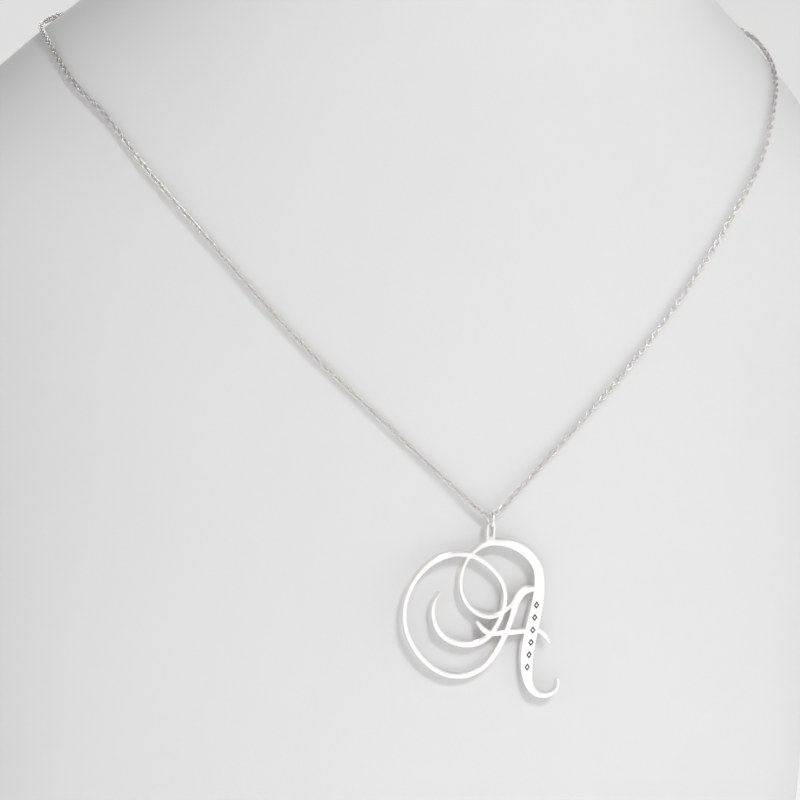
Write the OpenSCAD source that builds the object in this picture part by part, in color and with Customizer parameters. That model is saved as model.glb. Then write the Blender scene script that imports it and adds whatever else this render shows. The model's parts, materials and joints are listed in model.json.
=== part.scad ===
// Script initial pendant on a fine chain, worn by a plain neck bust.
// X runs across the shoulders, -Y is the front, Z is up.
// The origin is the middle of the bust's flat base.

/* [Neck bust] */
// Height from the base to the cut of the neck
bust_h = 245; // [225:5:265]
// Width across the shoulders
bust_w = 180; // [165:1:195]
// Depth that the front and back of the sections are shares of
bust_d = 104; // [92:1:116]
// Rounding of the rims at the base and at the neck
rim_r = 3; // [1.5:0.5:5]

/* [Chain] */
// Width of the chain's links
chain_w = 1.1; // [0.9:0.05:1.3]
// Gap between the chain and the bust that it lies on
chain_gap = 0.2; // [0.15:0.05:0.3]

/* [Jump ring] */
// Outer diameter of the jump ring
ring_d = 3.2; // [3.1:0.1:4]
// Diameter of the jump ring's wire
ring_wire = 0.45; // [0.35:0.05:0.5]

/* [Initial] */
// Width of the letter from the big loop to the foot of the stem
letter_w = 31; // [26:0.5:36]
// Height of the letter without its hanging loop
letter_h = 30.2; // [25:0.2:35]
// Thickness of the plate
letter_t = 1.2; // [0.8:0.1:1.4]
// Width of the letter's widest stroke, the stem
stem_w = 2.6; // [2.2:0.1:3]
// Height of the hole in the hanging loop
eye_h = 2.1; // [1.6:0.1:2.6]
// Width of the hole in the hanging loop
eye_w = 0.8; // [0.7:0.05:1]
// Width of metal around that hole
eye_wall = 0.4; // [0.3:0.05:0.6]
// Gap between the bottom of the letter and the chest that it hangs against
letter_gap = 0.4; // [0.3:0.05:0.8]

/* [Engraved marks] */
// Number of lozenges down the stem
mark_count = 6; // [4:1:6]
// Height of a lozenge
mark_h = 1.4; // [1.1:0.05:1.5]
// Width of a lozenge
mark_w = 1.05; // [0.8:0.05:1.15]
// Width of the engraved line
mark_line = 0.29; // [0.18:0.01:0.32]
// Depth of the engraved line
mark_depth = 0.15; // [0.1:0.05:0.3]

/* [Clasp] */
// Outer diameter of the clasp's ring
clasp_d = 5.5; // [5:0.25:7]
// Diameter of the clasp's tube
clasp_wire = 1.1; // [0.9:0.05:1.2]
// Outer diameter of the small eye at each side of the clasp
clasp_eye_d = 1.95; // [1.8:0.05:2.4]
// Wire of the small eyes
clasp_eye_wire = 0.45; // [0.35:0.05:0.5]

/* [Hidden] */

// Clear space left between the jump ring and what passes through it
ring_gap = 0.06;
// Overlap that joins pieces of one solid, and runs cuts past a face
over = 0.05;

// Sections of the bust from the base up, each two half ellipses that share their widest line:
// [height / bust_h, half width / bust_w, front depth / bust_d, back depth / bust_d, shift back / bust_d]
bust_sections = [
    [0.00, 0.455, 0.420, 0.500, -0.060],
    [0.16, 0.472, 0.410, 0.540, -0.080],
    [0.33, 0.472, 0.400, 0.560, -0.070],
    [0.49, 0.484, 0.465, 0.530,  0.020],
    [0.61, 0.500, 0.500, 0.500,  0.085],
    [0.71, 0.480, 0.455, 0.500,  0.075],
    [0.80, 0.366, 0.370, 0.380,  0.035],
    [0.86, 0.276, 0.335, 0.315,  0.000],
    [0.92, 0.260, 0.335, 0.300, -0.010],
    [1.00, 0.260, 0.335, 0.300, -0.010],
];
HALF_WIDTH = 1;
FRONT = 2;
BACK = 3;
SHIFT = 4;
bust_sides = 60;
bust_rows = 32;
rim_rows = 4;

// Route of the chain over one shoulder, the other is its mirror image:
// [angle round the bust from the front in degrees, height / bust_h]
chain_route = [
    [  0, 0.4845],
    [  8, 0.531],
    [ 20, 0.6015],
    [ 35, 0.691],
    [ 50, 0.745],
    [ 65, 0.771],
    [ 80, 0.788],
    [ 95, 0.794],
    [115, 0.793],
    [140, 0.794],
    [180, 0.797],
];
chain_sides = 8;
chain_steps = 39;
// Share of the steps' growth that is even, so that the rings crowd at the tip of the V
chain_even = 0.12;
// Angle over which the tip of the V is rounded
tip_round = 0.8;
// Half width of the stretch where the pendant holds the chain off the chest, as a share of bust_w
lift_share = 0.09;

// Centre lines and widths of the letter's three strokes:
// [across / letter_w from the hanging loop, down / letter_h from the top, width / stem_w]
// The first runs down the left leg, round the big loop and into the inner curl.
leg_and_loop = [
    [ 0.275, 0.320, 0.42],
    [ 0.226, 0.327, 0.62],
    [ 0.192, 0.364, 0.62],
    [ 0.173, 0.406, 0.56],
    [ 0.164, 0.458, 0.46],
    [ 0.138, 0.539, 0.42],
    [ 0.106, 0.620, 0.43],
    [ 0.058, 0.705, 0.43],
    [-0.007, 0.777, 0.40],
    [-0.092, 0.817, 0.37],
    [-0.184, 0.817, 0.36],
    [-0.270, 0.788, 0.35],
    [-0.352, 0.729, 0.33],
    [-0.422, 0.650, 0.31],
    [-0.476, 0.553, 0.29],
    [-0.502, 0.450, 0.27],
    [-0.497, 0.347, 0.28],
    [-0.459, 0.240, 0.32],
    [-0.392, 0.155, 0.38],
    [-0.306, 0.100, 0.40],
    [-0.215, 0.080, 0.36],
    [-0.126, 0.091, 0.32],
    [-0.043, 0.131, 0.29],
    [ 0.022, 0.186, 0.29],
    [ 0.070, 0.244, 0.29],
    [ 0.100, 0.305, 0.29],
    [ 0.110, 0.373, 0.30],
    [ 0.096, 0.454, 0.33],
    [ 0.063, 0.531, 0.37],
    [ 0.014, 0.593, 0.42],
    [-0.060, 0.628, 0.45],
    [-0.145, 0.627, 0.42],
    [-0.222, 0.599, 0.37],
    [-0.280, 0.552, 0.33],
    [-0.315, 0.492, 0.29],
    [-0.330, 0.426, 0.25],
    [-0.326, 0.371, 0.20],
    [-0.312, 0.334, 0.14],
    [-0.294, 0.308, 0.08],
];
// The second runs up the stem from its curled foot, over the arch and round the inner loop.
// The hanging loop stands on the arch at row arch_top.
arch_top = 19;
stem_and_arch = [
    [ 0.462, 0.890, 0.18],
    [ 0.465, 0.931, 0.24],
    [ 0.443, 0.965, 0.28],
    [ 0.400, 0.981, 0.35],
    [ 0.350, 0.973, 0.42],
    [ 0.307, 0.941, 0.50],
    [ 0.280, 0.891, 0.64],
    [ 0.268, 0.828, 0.80],
    [ 0.263, 0.745, 0.93],
    [ 0.268, 0.660, 0.99],
    [ 0.281, 0.580, 1.00],
    [ 0.297, 0.498, 0.95],
    [ 0.310, 0.416, 0.88],
    [ 0.316, 0.338, 0.81],
    [ 0.314, 0.262, 0.72],
    [ 0.295, 0.187, 0.64],
    [ 0.246, 0.119, 0.62],
    [ 0.177, 0.065, 0.60],
    [ 0.100, 0.034, 0.53],
    [ 0.023, 0.025, 0.41],
    [-0.045, 0.040, 0.32],
    [-0.098, 0.074, 0.26],
    [-0.137, 0.121, 0.24],
    [-0.160, 0.180, 0.22],
    [-0.169, 0.245, 0.22],
    [-0.162, 0.310, 0.23],
    [-0.135, 0.372, 0.25],
    [-0.091, 0.423, 0.27],
    [-0.035, 0.458, 0.32],
    [ 0.028, 0.472, 0.35],
    [ 0.089, 0.456, 0.35],
    [ 0.139, 0.416, 0.31],
    [ 0.166, 0.384, 0.27],
];
// The third is the crossbar with its two short serifs.
crossbar = [
    [-0.054, 0.502, 0.24],
    [-0.018, 0.546, 0.35],
    [ 0.033, 0.573, 0.40],
    [ 0.144, 0.577, 0.39],
    [ 0.268, 0.572, 0.39],
    [ 0.326, 0.577, 0.36],
    [ 0.366, 0.608, 0.32],
    [ 0.396, 0.653, 0.20],
];
// Centres of the first and last lozenge: [across / letter_w, down / letter_h]
first_mark = [0.304, 0.421];
last_mark = [0.266, 0.797];
stroke_steps = 4;

// Where the letter hangs, measured down the plate from the chain's centre line
ring_hole_r = ring_d / 2 - ring_wire;
ring_drop = ring_hole_r - chain_w / 2 - ring_gap;
eye_bar_rise = ring_hole_r - sqrt(pow(ring_hole_r, 2) - pow(letter_t / 2, 2));
eye_drop = ring_drop + ring_hole_r - eye_bar_rise - ring_gap;
letter_drop = eye_drop + eye_h + eye_wall;

// Row of a table that starts the span holding x
function row_at(rows, x, i = 0) =
    i >= len(rows) - 2 || rows[i + 1][0] > x ? i : row_at(rows, x, i + 1);

// Slope of a column at row i, from the rows on both sides of it
function row_slope(rows, col, i) =
    let (before = max(i - 1, 0), after = min(i + 1, len(rows) - 1))
    (rows[after][col] - rows[before][col]) / (rows[after][0] - rows[before][0]);

// Value of a column at x, on a smooth curve through the table's rows
function smooth(rows, col, x) =
    let (
        i = row_at(rows, x),
        span = rows[i + 1][0] - rows[i][0],
        s = (x - rows[i][0]) / span
    )
    rows[i][col] * (2 * pow(s, 3) - 3 * pow(s, 2) + 1)
    + rows[i + 1][col] * (3 * pow(s, 2) - 2 * pow(s, 3))
    + row_slope(rows, col, i) * span * (pow(s, 3) - 2 * pow(s, 2) + s)
    + row_slope(rows, col, i + 1) * span * (pow(s, 3) - pow(s, 2));

// Point of the bust's surface at an angle from the front and a height, drawn in by inset
function bust_point(angle, z, inset = 0) =
    let (
        share = z / bust_h,
        depth = cos(angle) > 0 ? -smooth(bust_sections, FRONT, share) : smooth(bust_sections, BACK, share),
        half_width = bust_w * smooth(bust_sections, HALF_WIDTH, share) - inset
    )
    [
        half_width * sin(angle),
        (bust_d * abs(depth) - inset) * sign(depth) * abs(cos(angle)) + bust_d * smooth(bust_sections, SHIFT, share),
        z,
    ];

// Outward direction of the surface there
function bust_normal(angle, z) =
    let (
        da = 0.1,
        dz = 0.1,
        along = bust_point(angle + da, z) - bust_point(angle - da, z),
        up = bust_point(angle, z + dz) - bust_point(angle, z - dz)
    )
    unit(cross(along, up));

function unit(v) = v / norm(v);

// Distance from the bust to the chain's centre line where it lies and where the ring holds it off
lie_off = chain_w / 2 + chain_gap;
tip_off = ring_d / 2 + chain_gap;

// Centre of the chain at an angle from the front, negative on the left
function chain_height(angle) =
    let (rounded = sqrt(pow(angle, 2) + pow(tip_round, 2)) - tip_round)
    bust_h * smooth(chain_route, 1, rounded);
function chain_point(angle) =
    let (
        z = chain_height(angle),
        on_bust = bust_point(angle, z),
        lift = pow(max(0, 1 - abs(on_bust[0]) / (lift_share * bust_w)), 2)
    )
    on_bust + bust_normal(angle, z) * (lie_off + (tip_off - lie_off) * (cos(angle) > 0 ? lift : 0));

// The pendant hangs from the tip of the V and leans until its foot nears the chest
hang_point = chain_point(0);
foot_drop = letter_drop + letter_h;
foot_y = bust_point(0, hang_point[2] - foot_drop)[1] - letter_gap - letter_t / 2;
lean = atan((hang_point[1] - foot_y) / foot_drop);

// The clasp's eyes lie each side of its ring, and the chain's two ends stop beside them
clasp_r = (clasp_d - clasp_wire) / 2;
clasp_eye_r = (clasp_eye_d - clasp_eye_wire) / 2;
clasp_eye_x = clasp_r + clasp_wire / 2 + clasp_eye_r;
nape = bust_point(180, chain_height(180));
// The clasp lies along the slope of the nape, clear of the bust's rise at its upper edge
nape_out = bust_normal(180, nape[2]);
nape_rise = (bust_point(180, nape[2] + clasp_d / 2 * nape_out[1]) - nape) * nape_out;
clasp_off = clasp_wire / 2 + chain_gap + nape_rise;
chain_end_x = clasp_eye_x + clasp_eye_d / 2 + ring_gap;
chain_end = 180 - asin(chain_end_x / (bust_w * smooth(bust_sections, HALF_WIDTH, nape[2] / bust_h)));

// Closed surface through a list of rings with equally many points, its end rings filled
module rings_to_solid(rings) {
    sides = len(rings[0]);
    last = len(rings) - 1;
    points = [for (ring = rings) each ring];
    walls = [
        for (i = [0 : last - 1], j = [0 : sides - 1])
            let (k = (j + 1) % sides)
            each [
                [i * sides + j, i * sides + k, (i + 1) * sides + k],
                [i * sides + j, (i + 1) * sides + k, (i + 1) * sides + j],
            ]
    ];
    first_cap = [[for (j = [sides - 1 : -1 : 0]) j]];
    last_cap = [[for (j = [0 : sides - 1]) last * sides + j]];
    // Faces are listed clockwise as seen from outside
    polyhedron(points, [for (face = concat(walls, first_cap, last_cap)) [for (n = [len(face) - 1 : -1 : 0]) face[n]]]);
}

module neck_bust() {
    color("whitesmoke")
        rings_to_solid([
            for (row = bust_outline_rows())
                [for (j = [0 : bust_sides - 1]) bust_point(360 * j / bust_sides, row[0], row[1])]
        ]);
}

// Heights of the bust's rings and how far the rounded rims draw them in: [height, inset]
function bust_outline_rows() =
    let (rim = [for (i = [0 : rim_rows]) 90 * i / rim_rows])
    concat(
        [for (a = rim) [rim_r * (1 - cos(a)), rim_r * (1 - sin(a))]],
        [for (i = [1 : bust_rows - 1]) [rim_r + (bust_h - 2 * rim_r) * i / bust_rows, 0]],
        [for (a = rim) [bust_h - rim_r * (1 - sin(a)), rim_r * (1 - cos(a))]]
    );

// Angles of the tube's rings from one end at the nape round the front to the other
function chain_angles() =
    let (
        steps = [for (i = [0 : chain_steps]) i / chain_steps],
        half = [for (s = steps) chain_end * (chain_even * s + (1 - chain_even) * pow(s, 2))]
    )
    concat([for (i = [chain_steps : -1 : 1]) -half[i]], half);

module chain() {
    centres = [for (a = chain_angles()) chain_point(a)];
    last = len(centres) - 1;
    color("silver")
        rings_to_solid([
            for (i = [0 : last])
                let (
                    angle = chain_angles()[i],
                    along = unit(centres[min(i + 1, last)] - centres[max(i - 1, 0)]),
                    side = unit(cross(along, bust_normal(angle, chain_height(angle)))),
                    out = cross(side, along)
                )
                [
                    for (j = [0 : chain_sides - 1])
                        let (turn = 360 * (j + 0.5) / chain_sides)
                        centres[i] + chain_w / 2 * (cos(turn) * out + sin(turn) * side)
                ]
        ]);
}

// Wire ring lying flat, its middle at the origin
module wire_ring(outer_d, wire) {
    rotate_extrude($fn = 48)
        translate([(outer_d - wire) / 2, 0])
            circle(d = wire, $fn = 24);
}

module clasp() {
    color("silver")
        translate(nape + nape_out * clasp_off)
            rotate([-atan(nape_out[1] / nape_out[2]), 0, 0])
                union() {
                    wire_ring(clasp_d, clasp_wire);
                    for (side = [-1, 1])
                        translate([side * clasp_eye_x, 0, 0])
                            wire_ring(clasp_eye_d, clasp_eye_wire);
                }
}

// Places what hangs from the tip of the V, in the plane of the leaning plate
module hung(drop = 0) {
    translate(hang_point)
        rotate([-lean, 0, 0])
            translate([0, 0, -drop])
                children();
}

module jump_ring() {
    color("silver")
        hung(ring_drop)
            rotate([0, 90, 0])
                wire_ring(ring_d, ring_wire);
}

// Point between the rows of a stroke on a smooth curve through them, with its width
function stroke_point(rows, i, s) =
    let (
        last = len(rows) - 1,
        a = rows[max(i - 1, 0)],
        b = rows[i],
        c = rows[min(i + 1, last)],
        d = rows[min(i + 2, last)]
    )
    0.5 * (2 * b + (c - a) * s + (2 * a - 5 * b + 4 * c - d) * pow(s, 2) + (3 * b - a - 3 * c + d) * pow(s, 3));

// Centre line of a stroke at real size: [across, up, half width]
function stroke_line(rows) = [
    for (i = [0 : len(rows) - 2], k = [0 : stroke_steps])
        if (k < stroke_steps || i == len(rows) - 2)
            let (p = stroke_point(rows, i, k / stroke_steps))
            [p[0] * letter_w, -letter_drop - p[1] * letter_h, p[2] * stem_w / 2]
];

// Outline of a stroke, anticlockwise, with its two ends rounded
module stroke(rows) {
    line = stroke_line(rows);
    last = len(line) - 1;
    flat = [for (p = line) [p[0], p[1]]];
    along = [for (i = [0 : last]) unit(flat[min(i + 1, last)] - flat[max(i - 1, 0)]) * line[i][2]];
    sideways = [for (a = along) [-a[1], a[0]]];
    end_turns = [30 : 30 : 150];
    polygon(concat(
        [for (i = [0 : last]) flat[i] - sideways[i]],
        [for (a = end_turns) flat[last] - sideways[last] * cos(a) + along[last] * sin(a)],
        [for (i = [last : -1 : 0]) flat[i] + sideways[i]],
        [for (a = end_turns) flat[0] + sideways[0] * cos(a) - along[0] * sin(a)]
    ));
}

// Points of half a circle round [0, y], anticlockwise
function half_circle(r, y, start) =
    [for (a = [0 : 15 : 180]) [r * cos(start + a), y + r * sin(start + a)]];

// Small closed loop that stands on the letter's top stroke
module hanging_loop() {
    outer_w = eye_w + 2 * eye_wall;
    foot = -letter_drop - letter_h * stem_and_arch[arch_top][1];
    polygon(concat(
        half_circle(outer_w / 2, -eye_drop - eye_w / 2, 0),
        [[-outer_w / 2, foot], [outer_w / 2, foot]]
    ));
}

module eye_hole() {
    polygon(concat(
        half_circle(eye_w / 2, -eye_drop - eye_w / 2, 0),
        half_circle(eye_w / 2, -eye_drop - eye_h + eye_w / 2, 180)
    ));
}

// Engraved line round a lozenge, centred on the origin
module lozenge() {
    inner = 1 - 2 * mark_line / mark_w;
    tips = [[mark_w / 2, 0], [0, mark_h / 2], [-mark_w / 2, 0], [0, -mark_h / 2]];
    difference() {
        polygon(tips);
        polygon(tips * inner);
    }
}

module initial() {
    color("gainsboro")
        hung()
            difference() {
                rotate([90, 0, 0])
                    linear_extrude(letter_t, center = true)
                        difference() {
                            union() {
                                stroke(leg_and_loop);
                                stroke(stem_and_arch);
                                stroke(crossbar);
                                hanging_loop();
                            }
                            eye_hole();
                        }
                for (i = [0 : mark_count - 1])
                    let (spot = first_mark + (last_mark - first_mark) * i / (mark_count - 1))
                    translate([spot[0] * letter_w, -letter_t / 2 - over, -letter_drop - spot[1] * letter_h])
                        rotate([90, 0, 0])
                            mirror([0, 0, 1])
                                linear_extrude(mark_depth + over)
                                    lozenge();
            }
}

neck_bust();
chain();
clasp();
jump_ring();
initial();
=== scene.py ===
"""Script initial pendant on a fine cable chain, worn by a plain white neck bust."""

import json
import math

import bmesh
import bpy
import numpy as np
from mathutils import Matrix, Vector
from mathutils.bvhtree import BVHTree
from mathutils.geometry import tessellate_polygon


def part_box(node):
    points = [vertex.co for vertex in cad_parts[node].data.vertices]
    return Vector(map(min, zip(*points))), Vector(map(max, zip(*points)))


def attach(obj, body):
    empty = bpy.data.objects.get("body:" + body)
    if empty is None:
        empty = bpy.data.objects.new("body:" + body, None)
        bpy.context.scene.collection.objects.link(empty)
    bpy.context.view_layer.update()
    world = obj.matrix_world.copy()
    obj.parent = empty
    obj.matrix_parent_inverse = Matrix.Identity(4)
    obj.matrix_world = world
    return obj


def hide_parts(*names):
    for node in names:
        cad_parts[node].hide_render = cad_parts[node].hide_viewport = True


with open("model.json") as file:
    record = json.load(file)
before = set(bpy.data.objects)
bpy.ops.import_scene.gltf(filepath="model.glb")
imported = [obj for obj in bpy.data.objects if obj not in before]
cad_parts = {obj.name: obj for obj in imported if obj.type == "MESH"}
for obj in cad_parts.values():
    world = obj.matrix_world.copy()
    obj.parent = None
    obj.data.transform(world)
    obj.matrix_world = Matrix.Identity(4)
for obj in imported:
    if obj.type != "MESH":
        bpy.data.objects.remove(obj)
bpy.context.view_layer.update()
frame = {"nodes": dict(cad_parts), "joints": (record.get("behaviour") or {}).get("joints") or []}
nodes = frame["nodes"]
joints = {joint["name"]: joint for joint in frame["joints"]}
MM = 0.001

# Where the pendant hangs, and the directions of its leaning plate
HANG = Vector(joints["ring_swing"]["pos_m"])
PLATE_FRONT = Vector(joints["letter_swing"]["axis"]).normalized()
PLATE_ACROSS = Vector((1, 0, 0))
PLATE_UP = PLATE_FRONT.cross(PLATE_ACROSS)

# Sizes of the real pieces that the solids leave plain
LINK_PITCH = 0.955 * MM
LINK_WIDTH = 1.1 * MM
LINK_WIRE = 0.31 * MM
LINK_PLAY = 0.03 * MM
EYE_WIRE = 0.45 * MM
RING_CUT = 0.03 * MM
EDGE_ROUND = 0.12 * MM
SHORTEST_EDGE = 0.03 * MM
MARK_DEPTH = 0.15 * MM
DARK_BELOW = 0.03 * MM

# The solids' swept surfaces have so many points around, and their loose corners lie so close
BUST_SIDES = 60
CHAIN_SIDES = 8
SAME_POINT = 0.0005 * MM


# Camera
def place_camera():
    """Looks at the tip of the chain from its left and above, a little rolled."""
    azimuth, elevation, roll = (math.radians(a) for a in (-22.28, 15.31, 3.45))
    distance = 0.620
    focal_px = 3553
    tip_px = (490.63, 515.88)
    frame_px = 800
    back = Vector((
        math.sin(azimuth) * math.cos(elevation),
        -math.cos(azimuth) * math.cos(elevation),
        math.sin(elevation),
    ))
    level = Vector((math.cos(azimuth), math.sin(azimuth), 0))
    up = back.cross(level)
    right = level * math.cos(roll) + up * math.sin(roll)
    up = up * math.cos(roll) - level * math.sin(roll)
    aside = (tip_px[0] - frame_px / 2) / focal_px * distance
    below = (tip_px[1] - frame_px / 2) / focal_px * distance
    camera = bpy.data.objects.new("camera", bpy.data.cameras.new("camera"))
    bpy.context.scene.collection.objects.link(camera)
    camera.data.sensor_width = 36
    camera.data.lens = focal_px / frame_px * camera.data.sensor_width
    camera.data.clip_start = 0.02
    camera.data.clip_end = 20
    place = Matrix((right, up, back)).transposed().to_4x4()
    place.translation = HANG + back * distance - right * aside + up * below
    camera.matrix_world = place
    bpy.context.scene.camera = camera


place_camera()


# Finishes
class Value:
    """A number or colour in a finish. Arithmetic on it adds the nodes that work it out."""

    def __init__(self, finish, socket):
        self.finish = finish
        self.socket = socket

    def worked_out(self, operation, *values):
        return self.finish.add("ShaderNodeMath", {"operation": operation}, list(values))

    def __add__(self, other):
        return self.worked_out("ADD", self, other)

    def __sub__(self, other):
        return self.worked_out("SUBTRACT", self, other)

    def __mul__(self, other):
        return self.worked_out("MULTIPLY", self, other)

    __radd__ = __add__
    __rmul__ = __mul__


def colour_of(value):
    return value if isinstance(value, Value) else (*value, 1)


class Finish:
    """One material, built up node by node."""

    def __init__(self, name, **sockets):
        self.material = bpy.data.materials.new(name)
        self.material.use_nodes = True
        self.tree = self.material.node_tree
        self.shader = self.tree.nodes["Principled BSDF"]
        self.set(**sockets)
        place = self.tree.nodes.new("ShaderNodeTexCoord")
        self.place = Value(self, place.outputs["Object"])

    def set(self, **sockets):
        """Sets or links sockets of the shader, named with underscores for spaces."""
        for name, value in sockets.items():
            self.feed(self.shader.inputs[name.replace("_", " ")], value)

    def feed(self, socket, value):
        if isinstance(value, Value):
            self.tree.links.new(value.socket, socket)
        else:
            socket.default_value = value

    def add(self, kind, settings, values, output=0):
        """Adds a node: its settings first, then the values of its sockets, by place or by name."""
        node = self.tree.nodes.new(kind)
        for name, value in settings.items():
            setattr(node, name, value)
        for key, value in values.items() if isinstance(values, dict) else enumerate(values):
            self.feed(node.inputs[key], value)
        return Value(self, node.outputs[output])

    def noise(self, scale, detail, stretch=(1, 1, 1)):
        """Noise from 0 to 1 in the piece's own place, with about one spot per 1 / scale metres."""
        place = self.add("ShaderNodeMapping", {}, {"Vector": self.place, "Scale": stretch})
        return self.add(
            "ShaderNodeTexNoise", {}, {"Vector": place, "Scale": scale, "Detail": detail}
        )

    def tint(self, share, dark, light):
        """Colour between two others."""
        return self.add(
            "ShaderNodeMix",
            {"data_type": "RGBA"},
            {0: share, 6: colour_of(dark), 7: colour_of(light)},
            output=2,
        )

    def own(self, name):
        """The piece's own attribute of that name."""
        return self.add("ShaderNodeAttribute", {"attribute_name": name}, [], output=2)

    def relief(self, height, depth, strength):
        """Normal of a surface whose height runs from 0 to 1 over a depth in metres."""
        return self.add(
            "ShaderNodeBump", {}, {"Height": height, "Distance": depth, "Strength": strength}
        )


def bust_finish():
    """Fine sprayed matt white, with the faintest clouding."""
    finish = Finish("matt_white_bust")
    cloud = finish.noise(28, 3)
    grain = finish.noise(2600, 2)
    finish.set(
        Base_Color=finish.tint(cloud, (0.745, 0.745, 0.748), (0.775, 0.775, 0.775)),
        Roughness=0.56 + 0.12 * cloud,
        Normal=finish.relief(grain, 0.03 * MM, 0.5),
    )
    return finish.material


def silver_finish(name, colour, roughness, wiped_depth, wall_shade_colour=None):
    """Silver with patches of polish and fine wiping marks. Cut edges may get a darker tone, which
    is painted shade.
    """
    finish = Finish(name, Metallic=1.0)
    patches = finish.noise(420, 3)
    wiped = finish.noise(5200, 2, stretch=(1, 1, 0.06))
    darker = tuple(0.96 * c for c in colour)
    tint = finish.tint(patches, darker, colour)
    rough = roughness + 0.08 * patches + 0.05 * wiped
    if wall_shade_colour:
        # Painted shade: the cut walls get a darker tone, and a little less roughness.
        cut = finish.own("cut_edge")
        tint = finish.tint(cut, tint, wall_shade_colour)
        rough = rough - 0.08 * cut
    finish.set(
        Base_Color=tint,
        Roughness=rough,
        Normal=finish.relief(wiped, wiped_depth, 0.35),
    )
    return finish.material


def blackened_finish():
    """Dark colour left in the engraved lines."""
    finish = Finish("blackened_line", Metallic=0.35)
    spots = finish.noise(9000, 2)
    finish.set(
        Base_Color=finish.tint(spots, (0.012, 0.012, 0.014), (0.05, 0.05, 0.055)),
        Roughness=0.45 + 0.25 * spots,
    )
    return finish.material


def floor_finish():
    finish = Finish("pale_floor", Roughness=0.8, Emission_Strength=0.57)
    cloud = finish.noise(6, 2)
    tint = finish.tint(cloud, (0.69, 0.69, 0.685), (0.72, 0.72, 0.715))
    finish.set(Base_Color=tint, Emission_Color=tint)
    return finish.material


SATIN_SILVER = silver_finish(
    "satin_silver",
    (0.98, 0.975, 0.965),
    roughness=0.26,
    wiped_depth=0.004 * MM,
    # Painted shade: a darker tone on the cut walls.
    wall_shade_colour=(0.90, 0.88, 0.86),
)
BRIGHT_SILVER = silver_finish(
    "bright_silver", (0.95, 0.94, 0.925), roughness=0.14, wiped_depth=0.003 * MM
)
# The chain's silver is darker than the letter's and the ring's: painted shade standing in for the
# dark reflections in its links.
SHADED_CHAIN_SILVER = silver_finish(
    "chain_silver_painted_shade", (0.80, 0.78, 0.765), roughness=0.28, wiped_depth=0.003 * MM
)
MATT_WHITE = bust_finish()
BLACKENED = blackened_finish()


# Making and placing pieces
def made(name, body, finish, points, faces, stands_for=None, smooth=True):
    """A piece from its points and faces, riding on a body."""
    mesh = bpy.data.meshes.new(name)
    mesh.from_pydata([tuple(p) for p in points], [], faces)
    mesh.validate()
    piece = bpy.data.objects.new(name, mesh)
    bpy.context.scene.collection.objects.link(piece)
    return settled(piece, body, finish, stands_for, smooth)


def settled(piece, body, finish, stands_for=None, smooth=True):
    piece.data.materials.clear()
    piece.data.materials.append(finish)
    piece.data.polygons.foreach_set("use_smooth", [smooth] * len(piece.data.polygons))
    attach(piece, body)
    if stands_for:
        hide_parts(stands_for)
    return piece


def merged(node):
    """The node's own surface with its loose triangles joined."""
    joined = bmesh.new()
    joined.from_mesh(nodes[node].data)
    bmesh.ops.remove_doubles(joined, verts=joined.verts, dist=SAME_POINT)
    return joined


def swept_rings(node, sides, first):
    """Rings of a surface that was swept with so many sides, walked from its first ring."""
    joined = merged(node)
    ring = sorted(joined.verts, key=first)[:sides]
    seen = set(ring)
    rings = []
    while ring:
        rings.append([v.co.copy() for v in ring])
        beside = dict.fromkeys(e.other_vert(v) for v in ring for e in v.link_edges)
        ring = [v for v in beside if v not in seen]
        seen.update(ring)
    joined.free()
    return rings


def banded(base, rows, count, closed=False):
    """Faces between rows of so many points each, where every row is a ring."""
    faces = []
    for i in range(rows if closed else rows - 1):
        a, b = base + i * count, base + (i + 1) % rows * count
        for j in range(count):
            k = (j + 1) % count
            faces.append([a + j, a + k, b + k, b + j])
    return faces


def capped(rows, count):
    """Faces that close the first and the last of such rows."""
    last = (rows - 1) * count
    return [list(range(count))[::-1], list(range(last, last + count))]


# Bust
def make_bust():
    """The bust's own sections as quads, smoothed between them."""
    rings = swept_rings("neck_bust", BUST_SIDES, lambda v: v.co.z)
    points = []
    for ring in rings:
        middle = sum(ring, Vector()) / len(ring)
        points += sorted(ring, key=lambda p: math.atan2(p.y - middle.y, p.x - middle.x))
    faces = banded(0, len(rings), BUST_SIDES) + capped(len(rings), BUST_SIDES)
    bust = made("bust_surface", "stand", MATT_WHITE, points, faces, "neck_bust")
    smoother = bust.modifiers.new("smoother", "SUBSURF")
    smoother.levels = smoother.render_levels = 2


make_bust()


# Chain
def smooth_path(points, steps=24):
    """Points close together on a smooth curve through the given ones."""
    p = np.array([points[0], *points, points[-1]], float)
    s = np.linspace(0, 1, steps, endpoint=False)[:, None]
    spans = [
        0.5 * (
            2 * b + (c - a) * s + (2 * a - 5 * b + 4 * c - d) * s**2
            + (3 * b - a - 3 * c + d) * s**3
        )
        for a, b, c, d in zip(p, p[1:], p[2:], p[3:])
    ]
    return np.vstack([*spans, p[-1:]])


def along_path(path, distances):
    """Points at these distances along a path from its first point."""
    run = np.concatenate([[0], np.cumsum(np.linalg.norm(np.diff(path, axis=0), axis=1))])
    return np.stack([np.interp(distances, run, path[:, i]) for i in range(3)], 1), run[-1]


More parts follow.
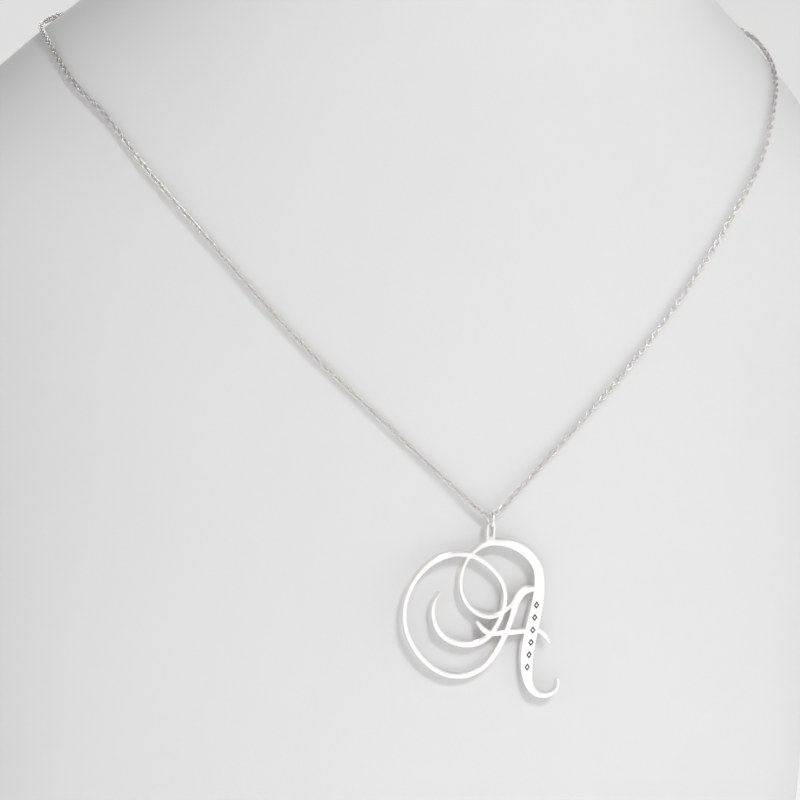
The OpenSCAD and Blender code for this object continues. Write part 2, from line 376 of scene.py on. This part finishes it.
def chain_joints():
    """Where each link meets the next, from one clasp eye to the other, with a link at the tip."""

    def from_clasp(v):
        """How far left of the clasp a point of the tube's first end lies."""
        return -v.co.x if v.co.x < 0 < v.co.y else math.inf

    rings = swept_rings("chain", CHAIN_SIDES, from_clasp)
    middles = [np.mean([tuple(p) for p in ring], axis=0) for ring in rings]
    low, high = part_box("clasp")
    in_eye = np.array([high.x - EYE_WIRE, (low.y + high.y) / 2, (low.z + high.z) / 2])
    path = smooth_path([in_eye * (-1, 1, 1), *middles, in_eye])
    _, length = along_path(path, [0])
    side_links = round(length / 2 / LINK_PITCH + 0.5)
    pitch = length / 2 / (side_links - 0.5)
    spots = length / 2 + pitch * (np.arange(2 * side_links) - side_links + 0.5)
    return along_path(path, np.clip(spots, 0, length))[0], pitch


def link_turns(joints_at):
    """Middle and turn of each link: every one lies a quarter turn from the last, on the slant."""
    most_slant, most_jitter, easing_links = 45, 9, 8
    bust = merged("neck_bust")
    bust_skin = BVHTree.FromBMesh(bust)
    bust.free()
    random = np.random.default_rng(7)
    count = len(joints_at) - 1
    middles, turns = [], []
    for i, (a, b) in enumerate(zip(joints_at, joints_at[1:])):
        middle = Vector((a + b) / 2)
        ahead = Vector(b - a).normalized()
        skin = bust_skin.find_nearest(middle)[0]
        side = ahead.cross(middle - skin).normalized()
        out = side.cross(ahead)
        from_end = min(i, count - 1 - i)
        eased = min(1, from_end / easing_links)
        slant = most_slant * eased
        jitter = random.uniform(-most_jitter, most_jitter) * eased
        roll = math.radians(90 * ((from_end + 1) % 2) - slant + jitter)
        across = side * math.cos(roll) + out * math.sin(roll)
        turn = Matrix((ahead, across, ahead.cross(across))).transposed()
        middles.append(middle)
        turns.append(turn.to_quaternion())
    return middles, turns


def link_tree():
    """Puts a bent wire link on each point of a mesh, turned as the point says."""
    tree = bpy.data.node_groups.new("chain_links", "GeometryNodeTree")
    for name, kind in (
        ("Geometry", "NodeSocketGeometry"),
        ("Link length", "NodeSocketFloat"),
        ("Link width", "NodeSocketFloat"),
        ("Wire", "NodeSocketFloat"),
        ("Finish", "NodeSocketMaterial"),
    ):
        tree.interface.new_socket(name, in_out="INPUT", socket_type=kind)
    tree.interface.new_socket("Geometry", in_out="OUTPUT", socket_type="NodeSocketGeometry")

    def feed(socket, value):
        if isinstance(value, bpy.types.NodeSocket):
            tree.links.new(value, socket)
        else:
            socket.default_value = value

    def add(kind, settings=(), **values):
        node = tree.nodes.new(kind)
        for name, value in dict(settings).items():
            setattr(node, name, value)
        for name, value in values.items():
            feed(node.inputs[name.replace("_", " ")], value)
        return node.outputs[0]

    def worked_out(operation, *values):
        node = tree.nodes.new("ShaderNodeMath")
        node.operation = operation
        for socket, value in zip(node.inputs, values):
            feed(socket, value)
        return node.outputs[0]

    given = tree.nodes.new("NodeGroupInput").outputs
    straight = worked_out("SUBTRACT", given["Link length"], given["Link width"])
    half_straight = worked_out("MULTIPLY", straight, 0.5)
    width_of_bend = worked_out("SUBTRACT", given["Link width"], given["Wire"])
    bend = worked_out("MULTIPLY", width_of_bend, 0.5)
    ring = add("GeometryNodeCurvePrimitiveCircle", Resolution=14, Radius=bend)
    across = add("ShaderNodeSeparateXYZ", Vector=add("GeometryNodeInputPosition"))
    shift = worked_out("MULTIPLY", worked_out("SIGN", across), half_straight)
    drawn_out = add(
        "GeometryNodeSetPosition", Geometry=ring, Offset=add("ShaderNodeCombineXYZ", X=shift)
    )
    wire_radius = worked_out("MULTIPLY", given["Wire"], 0.5)
    round_wire = add("GeometryNodeCurvePrimitiveCircle", Resolution=6, Radius=wire_radius)
    link = add("GeometryNodeCurveToMesh", Curve=drawn_out, Profile_Curve=round_wire)
    turn = add("GeometryNodeInputNamedAttribute", {"data_type": "QUATERNION"}, Name="turn")
    placed = add(
        "GeometryNodeInstanceOnPoints", Points=given["Geometry"], Instance=link, Rotation=turn
    )
    real = add("GeometryNodeRealizeInstances", Geometry=placed)
    finished = add("GeometryNodeSetMaterial", Geometry=real, Material=given["Finish"])
    out = tree.nodes.new("NodeGroupOutput")
    tree.links.new(finished, out.inputs[0])
    return tree


def outward(mesh):
    """Turns a closed surface the right way out."""
    shape = bmesh.new()
    shape.from_mesh(mesh)
    if shape.calc_volume(signed=True) < 0:
        bmesh.ops.reverse_faces(shape, faces=shape.faces)
        shape.to_mesh(mesh)
    shape.free()


def make_chain():
    joints_at, pitch = chain_joints()
    middles, turns = link_turns(joints_at)
    carrier = bpy.data.meshes.new("link_places")
    carrier.from_pydata([tuple(m) for m in middles], [], [])
    turned = carrier.attributes.new("turn", "QUATERNION", "POINT")
    turned.data.foreach_set("value", [x for q in turns for x in q])
    holder = bpy.data.objects.new("link_places", carrier)
    bpy.context.scene.collection.objects.link(holder)
    tree = link_tree()
    maker = holder.modifiers.new("links", "NODES")
    maker.node_group = tree
    inputs = {
        "Link length": pitch + 2 * LINK_WIRE + LINK_PLAY,
        "Link width": LINK_WIDTH,
        "Wire": LINK_WIRE,
        "Finish": SHADED_CHAIN_SILVER,
    }
    for socket in tree.interface.items_tree:
        if socket.in_out == "INPUT" and socket.name in inputs:
            maker[socket.identifier] = inputs[socket.name]
    bpy.context.view_layer.update()
    dressed = holder.evaluated_get(bpy.context.evaluated_depsgraph_get())
    mesh = bpy.data.meshes.new_from_object(dressed)
    mesh.name = "chain_of_links"
    bpy.data.objects.remove(holder)
    outward(mesh)
    chain = bpy.data.objects.new("chain_of_links", mesh)
    bpy.context.scene.collection.objects.link(chain)
    settled(chain, "stand", SHADED_CHAIN_SILVER, "chain")


make_chain()


# Jump ring and clasp
def make_jump_ring():
    """Round wire bent into a ring, with the hairline where its two cut ends meet."""
    low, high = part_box("jump_ring")
    centre = (low + high) / 2
    wire = (high.x - low.x) / 2
    bend = (high.z - low.z) / 2 - wire
    around, sides = 64, 16
    cut_at, cut_width = math.radians(-50), RING_CUT / bend
    rings = []
    for i in range(around):
        a = cut_at + cut_width / 2 + (2 * math.pi - cut_width) * i / (around - 1)
        spoke = Vector((0, math.sin(a), math.cos(a)))
        rings.append([
            centre + spoke * (bend + wire * math.cos(b)) + PLATE_ACROSS * (wire * math.sin(b))
            for b in (2 * math.pi * j / sides for j in range(sides))
        ])
    points = [p for ring in rings for p in ring]
    faces = banded(0, around, sides) + capped(around, sides)
    ring = made("wire_jump_ring", "ring", BRIGHT_SILVER, points, faces, "jump_ring")
    outward(ring.data)
    ring.data.set_sharp_from_angle(angle=math.radians(50))


def make_clasp():
    joined = merged("clasp")
    mesh = bpy.data.meshes.new("ring_clasp")
    joined.to_mesh(mesh)
    joined.free()
    clasp = bpy.data.objects.new("ring_clasp", mesh)
    bpy.context.scene.collection.objects.link(clasp)
    settled(clasp, "stand", BRIGHT_SILVER, "clasp")
    mesh.set_sharp_from_angle(angle=math.radians(40))


make_jump_ring()
make_clasp()


# Letter
def plate_loops():
    """Edges of the plate's front face as flat loops, those of the engraved lines apart."""
    joined = merged("initial")
    off_face = 0.005 * MM

    def flat(v):
        p = v.co - HANG
        return p.dot(PLATE_ACROSS), p.dot(PLATE_UP)

    def depth(v):
        return (v.co - HANG).dot(PLATE_FRONT)

    front = max(depth(v) for v in joined.verts)
    back = min(depth(v) for v in joined.verts)
    on_face = {f for f in joined.faces if all(front - depth(v) < off_face for v in f.verts)}
    follows = {}
    for face in (f for f in joined.faces if f in on_face):
        for corner in face.loops:
            if not any(f in on_face for f in corner.edge.link_faces if f is not face):
                follows[corner.vert] = corner.link_loop_next.vert
    outlines, marks = [], []
    while follows:
        v = next(iter(follows))
        loop = []
        while v in follows:
            loop.append(v)
            v = follows.pop(v)
        walls = [f for v in loop for f in v.link_faces if f not in on_face]
        shallow = min(depth(w) for f in walls for w in f.verts) > (front + back) / 2
        (marks if shallow else outlines).append(np.array([flat(v) for v in loop]))
    joined.free()
    return outlines, marks, front, back


def tidied(loop, gap):
    """A loop without points closer together than a gap."""
    kept = [loop[0]]
    for p in loop[1:]:
        if np.linalg.norm(p - kept[-1]) > gap:
            kept.append(p)
    if np.linalg.norm(kept[-1] - kept[0]) <= gap:
        kept.pop()
    return np.array(kept)


def inward(loop):
    """Step into the metal from each point of a loop that shifts both its edges by about 1."""
    sharpest = 0.6
    ahead = np.roll(loop, -1, axis=0) - loop
    ahead /= np.linalg.norm(ahead, axis=1)[:, None]
    left = np.stack([-ahead[:, 1], ahead[:, 0]], 1)
    both = left + np.roll(left, 1, axis=0)
    both /= np.maximum(np.linalg.norm(both, axis=1), 1e-9)[:, None]
    return both / np.maximum((both * left).sum(1), sharpest)[:, None]


def rounding_at(loops, insets, most):
    """How far each point's edge may be rounded: a third of the metal's width there at most."""
    next_to_nothing, slack, thinnest = 1e-15, 1e-6, 0.01 * MM
    starts = np.vstack(loops)
    ends = np.vstack([np.roll(loop, -1, axis=0) for loop in loops])
    rounding = []
    for loop, inset in zip(loops, insets):
        reach = []
        for p, d in zip(loop, inset):
            d = d / np.linalg.norm(d)
            edge = ends - starts
            offset = starts - p
            cross = d[0] * edge[:, 1] - d[1] * edge[:, 0]
            cross = np.where(abs(cross) < next_to_nothing, next_to_nothing, cross)
            t = (offset[:, 0] * edge[:, 1] - offset[:, 1] * edge[:, 0]) / cross
            s = (offset[:, 0] * d[1] - offset[:, 1] * d[0]) / cross
            hits = t[(s >= -slack) & (s <= 1 + slack) & (t > thinnest)]
            reach.append(min(most, hits.min() / 3 if len(hits) else most))
        reach = np.array(reach)
        for _ in range(2):
            reach = np.minimum(reach, (np.roll(reach, 1) + reach + np.roll(reach, -1)) / 3)
        rounding.append(reach)
    return rounding


def filled(loops_of_points):
    """Triangles over a face with holes, as indices into the loops' points one after another."""
    return tessellate_polygon([[Vector((*p, 0)) for p in loop] for loop in loops_of_points])


def engraved_lines(marks):
    """The outer and inner edge of each engraved line, point for point."""
    same_middle = 0.1 * MM
    lines = []
    for outer in marks:
        for inner in marks:
            apart = np.linalg.norm(inner.mean(axis=0) - outer.mean(axis=0))
            if apart < same_middle and np.ptp(outer[:, 1]) > np.ptp(inner[:, 1]):
                same_way = inner[::-1]
                nearest = np.argmin(np.linalg.norm(same_way - outer[0], axis=1))
                lines.append((outer, np.roll(same_way, -int(nearest), axis=0)))
    return lines


def on_plate(flat, depth):
    """Where a point of the plate lies, from its place across and up the plate and its depth."""
    return HANG + PLATE_ACROSS * flat[0] + PLATE_UP * flat[1] + PLATE_FRONT * depth


def plate_surface(outlines, lines, front, back):
    """Points and faces of the plate, with rounded edges and engraved lines."""
    insets = [inward(loop) for loop in outlines]
    rounding = rounding_at(outlines, insets, EDGE_ROUND)
    quarter = [math.radians(a) for a in (0, 30, 60, 90)]
    points, faces = [], []

    # Rows from the front face over its rounded edge, down the wall and round to the back face
    rows = [(1 - math.sin(a), 1 - math.cos(a), front, -1) for a in quarter]
    rows += [(1 - math.sin(a), 1 - math.cos(a), back, 1) for a in reversed(quarter)]
    face_loops = {"front": [], "back": []}
    for loop, inset, reach in zip(outlines, insets, rounding):
        count = len(loop)
        base = len(points)
        for aside, down, level, way in rows:
            flat = loop + inset * (reach * aside)[:, None]
            points += [on_plate(p, level + way * r * down) for p, r in zip(flat, reach)]
        faces += banded(base, len(rows), count)
        flat = loop + inset * reach[:, None]
        face_loops["front"].append((flat, base))
        face_loops["back"].append((flat, base + (len(rows) - 1) * count))

    # Engraved lines: a wall down each edge, and a floor between the two
    sunk = front - MARK_DEPTH
    for outer, inner in lines:
        base = len(points)
        for loop, level in ((outer, front), (outer, sunk), (inner, sunk), (inner, front)):
            points += [on_plate(p, level) for p in loop]
        count = len(outer)
        faces += banded(base, 4, count)
        faces.append([base + 3 * count + j for j in range(count)][::-1])
        face_loops["front"].append((outer, base))

    for side, loops in face_loops.items():
        index = [base + j for flat, base in loops for j in range(len(flat))]
        for triangle in filled([flat for flat, _ in loops]):
            corners = [index[i] for i in triangle]
            faces.append(corners if side == "front" else corners[::-1])
    return points, faces


def tell_walls(mesh):
    """Marks the faces of the cut walls, so that the finish can paint shade on them in a darker
    tone.
    """
    flattest_wall = 0.6  # how far a wall may face the front, from 0 for a square wall to 1
    cut = mesh.attributes.new("cut_edge", "FLOAT", "FACE")
    facing = [abs(face.normal.dot(PLATE_FRONT)) for face in mesh.polygons]
    cut.data.foreach_set("value", [1.0 if f < flattest_wall else 0.0 for f in facing])


def make_letter():
    outlines, marks, front, back = plate_loops()
    outlines = [tidied(loop, SHORTEST_EDGE) for loop in outlines]
    lines = engraved_lines(marks)
    points, faces = plate_surface(outlines, lines, front, back)
    letter = made("letter_plate", "letter", SATIN_SILVER, points, faces, "initial")
    shape = bmesh.new()
    shape.from_mesh(letter.data)
    bmesh.ops.recalc_face_normals(shape, faces=shape.faces)
    shape.to_mesh(letter.data)
    shape.free()
    outward(letter.data)
    letter.data.set_sharp_from_angle(angle=math.radians(35))
    tell_walls(letter.data)
    weighted = letter.modifiers.new("flat_faces", "WEIGHTED_NORMAL")
    weighted.keep_sharp = True
    weighted.weight = 90
    make_dark_lines(lines, front)


def make_dark_lines(lines, front):
    """The dark colour that fills the engraved lines to just under the face."""
    points, faces = [], []
    off_wall, off_floor = 0.03, 0.002 * MM  # a share of the line's width, and a depth
    top, bottom = front - DARK_BELOW, front - MARK_DEPTH + off_floor
    for outer, inner in lines:
        base = len(points)
        wide = outer + (inner - outer) * off_wall
        narrow = inner + (outer - inner) * off_wall
        for loop, level in ((wide, top), (wide, bottom), (narrow, bottom), (narrow, top)):
            points += [on_plate(p, level) for p in loop]
        faces += banded(base, 4, len(outer), closed=True)
    dark = made("dark_mark_lines", "letter", BLACKENED, points, faces, smooth=False)
    outward(dark.data)


make_letter()


# Floor and light
def make_floor():
    mesh = bpy.data.meshes.new("floor")
    half = 4.0  # metres
    corners = [(-half, -half, 0), (half, -half, 0), (half, half, 0), (-half, half, 0)]
    mesh.from_pydata(corners, [], [[0, 1, 2, 3]])
    mesh.materials.append(floor_finish())
    floor = bpy.data.objects.new("floor", mesh)
    bpy.context.scene.collection.objects.link(floor)


def soft_light(name, at, size, power, aim=(0, 0, 0), spread=180):
    """Square soft light, placed and aimed from the pendant, in metres, watts and degrees."""
    data = bpy.data.lights.new(name, "AREA")
    data.shape = "SQUARE"
    data.size = size
    data.energy = power
    data.spread = math.radians(spread)
    light = bpy.data.objects.new(name, data)
    bpy.context.scene.collection.objects.link(light)
    light.location = HANG + Vector(at)
    light.rotation_mode = "QUATERNION"
    light.rotation_quaternion = (Vector(aim) - Vector(at)).to_track_quat("-Z", "Y")


def light_scene():
    world = bpy.data.worlds.new("studio")
    bpy.context.scene.world = world
    world.use_nodes = True
    sky = world.node_tree.nodes["Background"]
    sky.inputs["Color"].default_value = (1, 1, 1, 1)
    sky.inputs["Strength"].default_value = 0.34
    soft_light(
        "window_light", (0.14, -1.50, 1.66), size=0.5, power=1.0, aim=(0, 0, -0.35), spread=36
    )
    soft_light("side_light", (1.70, -0.65, 0.60), size=1.4, power=7.0)
    soft_light("front_light", (-1.25, -1.10, -0.10), size=1.6, power=8.2)
    soft_light(
        "table_light", (0.20, -0.50, 0.50), size=0.35, power=0.5, aim=(0.20, -0.50, 0), spread=70
    )
    soft_light("back_light", (0.45, 1.40, 0.30), size=0.8, power=0.55, aim=(0, 0, 0.1), spread=50)
    bpy.context.scene.view_settings.view_transform = "Standard"


make_floor()
light_scene()
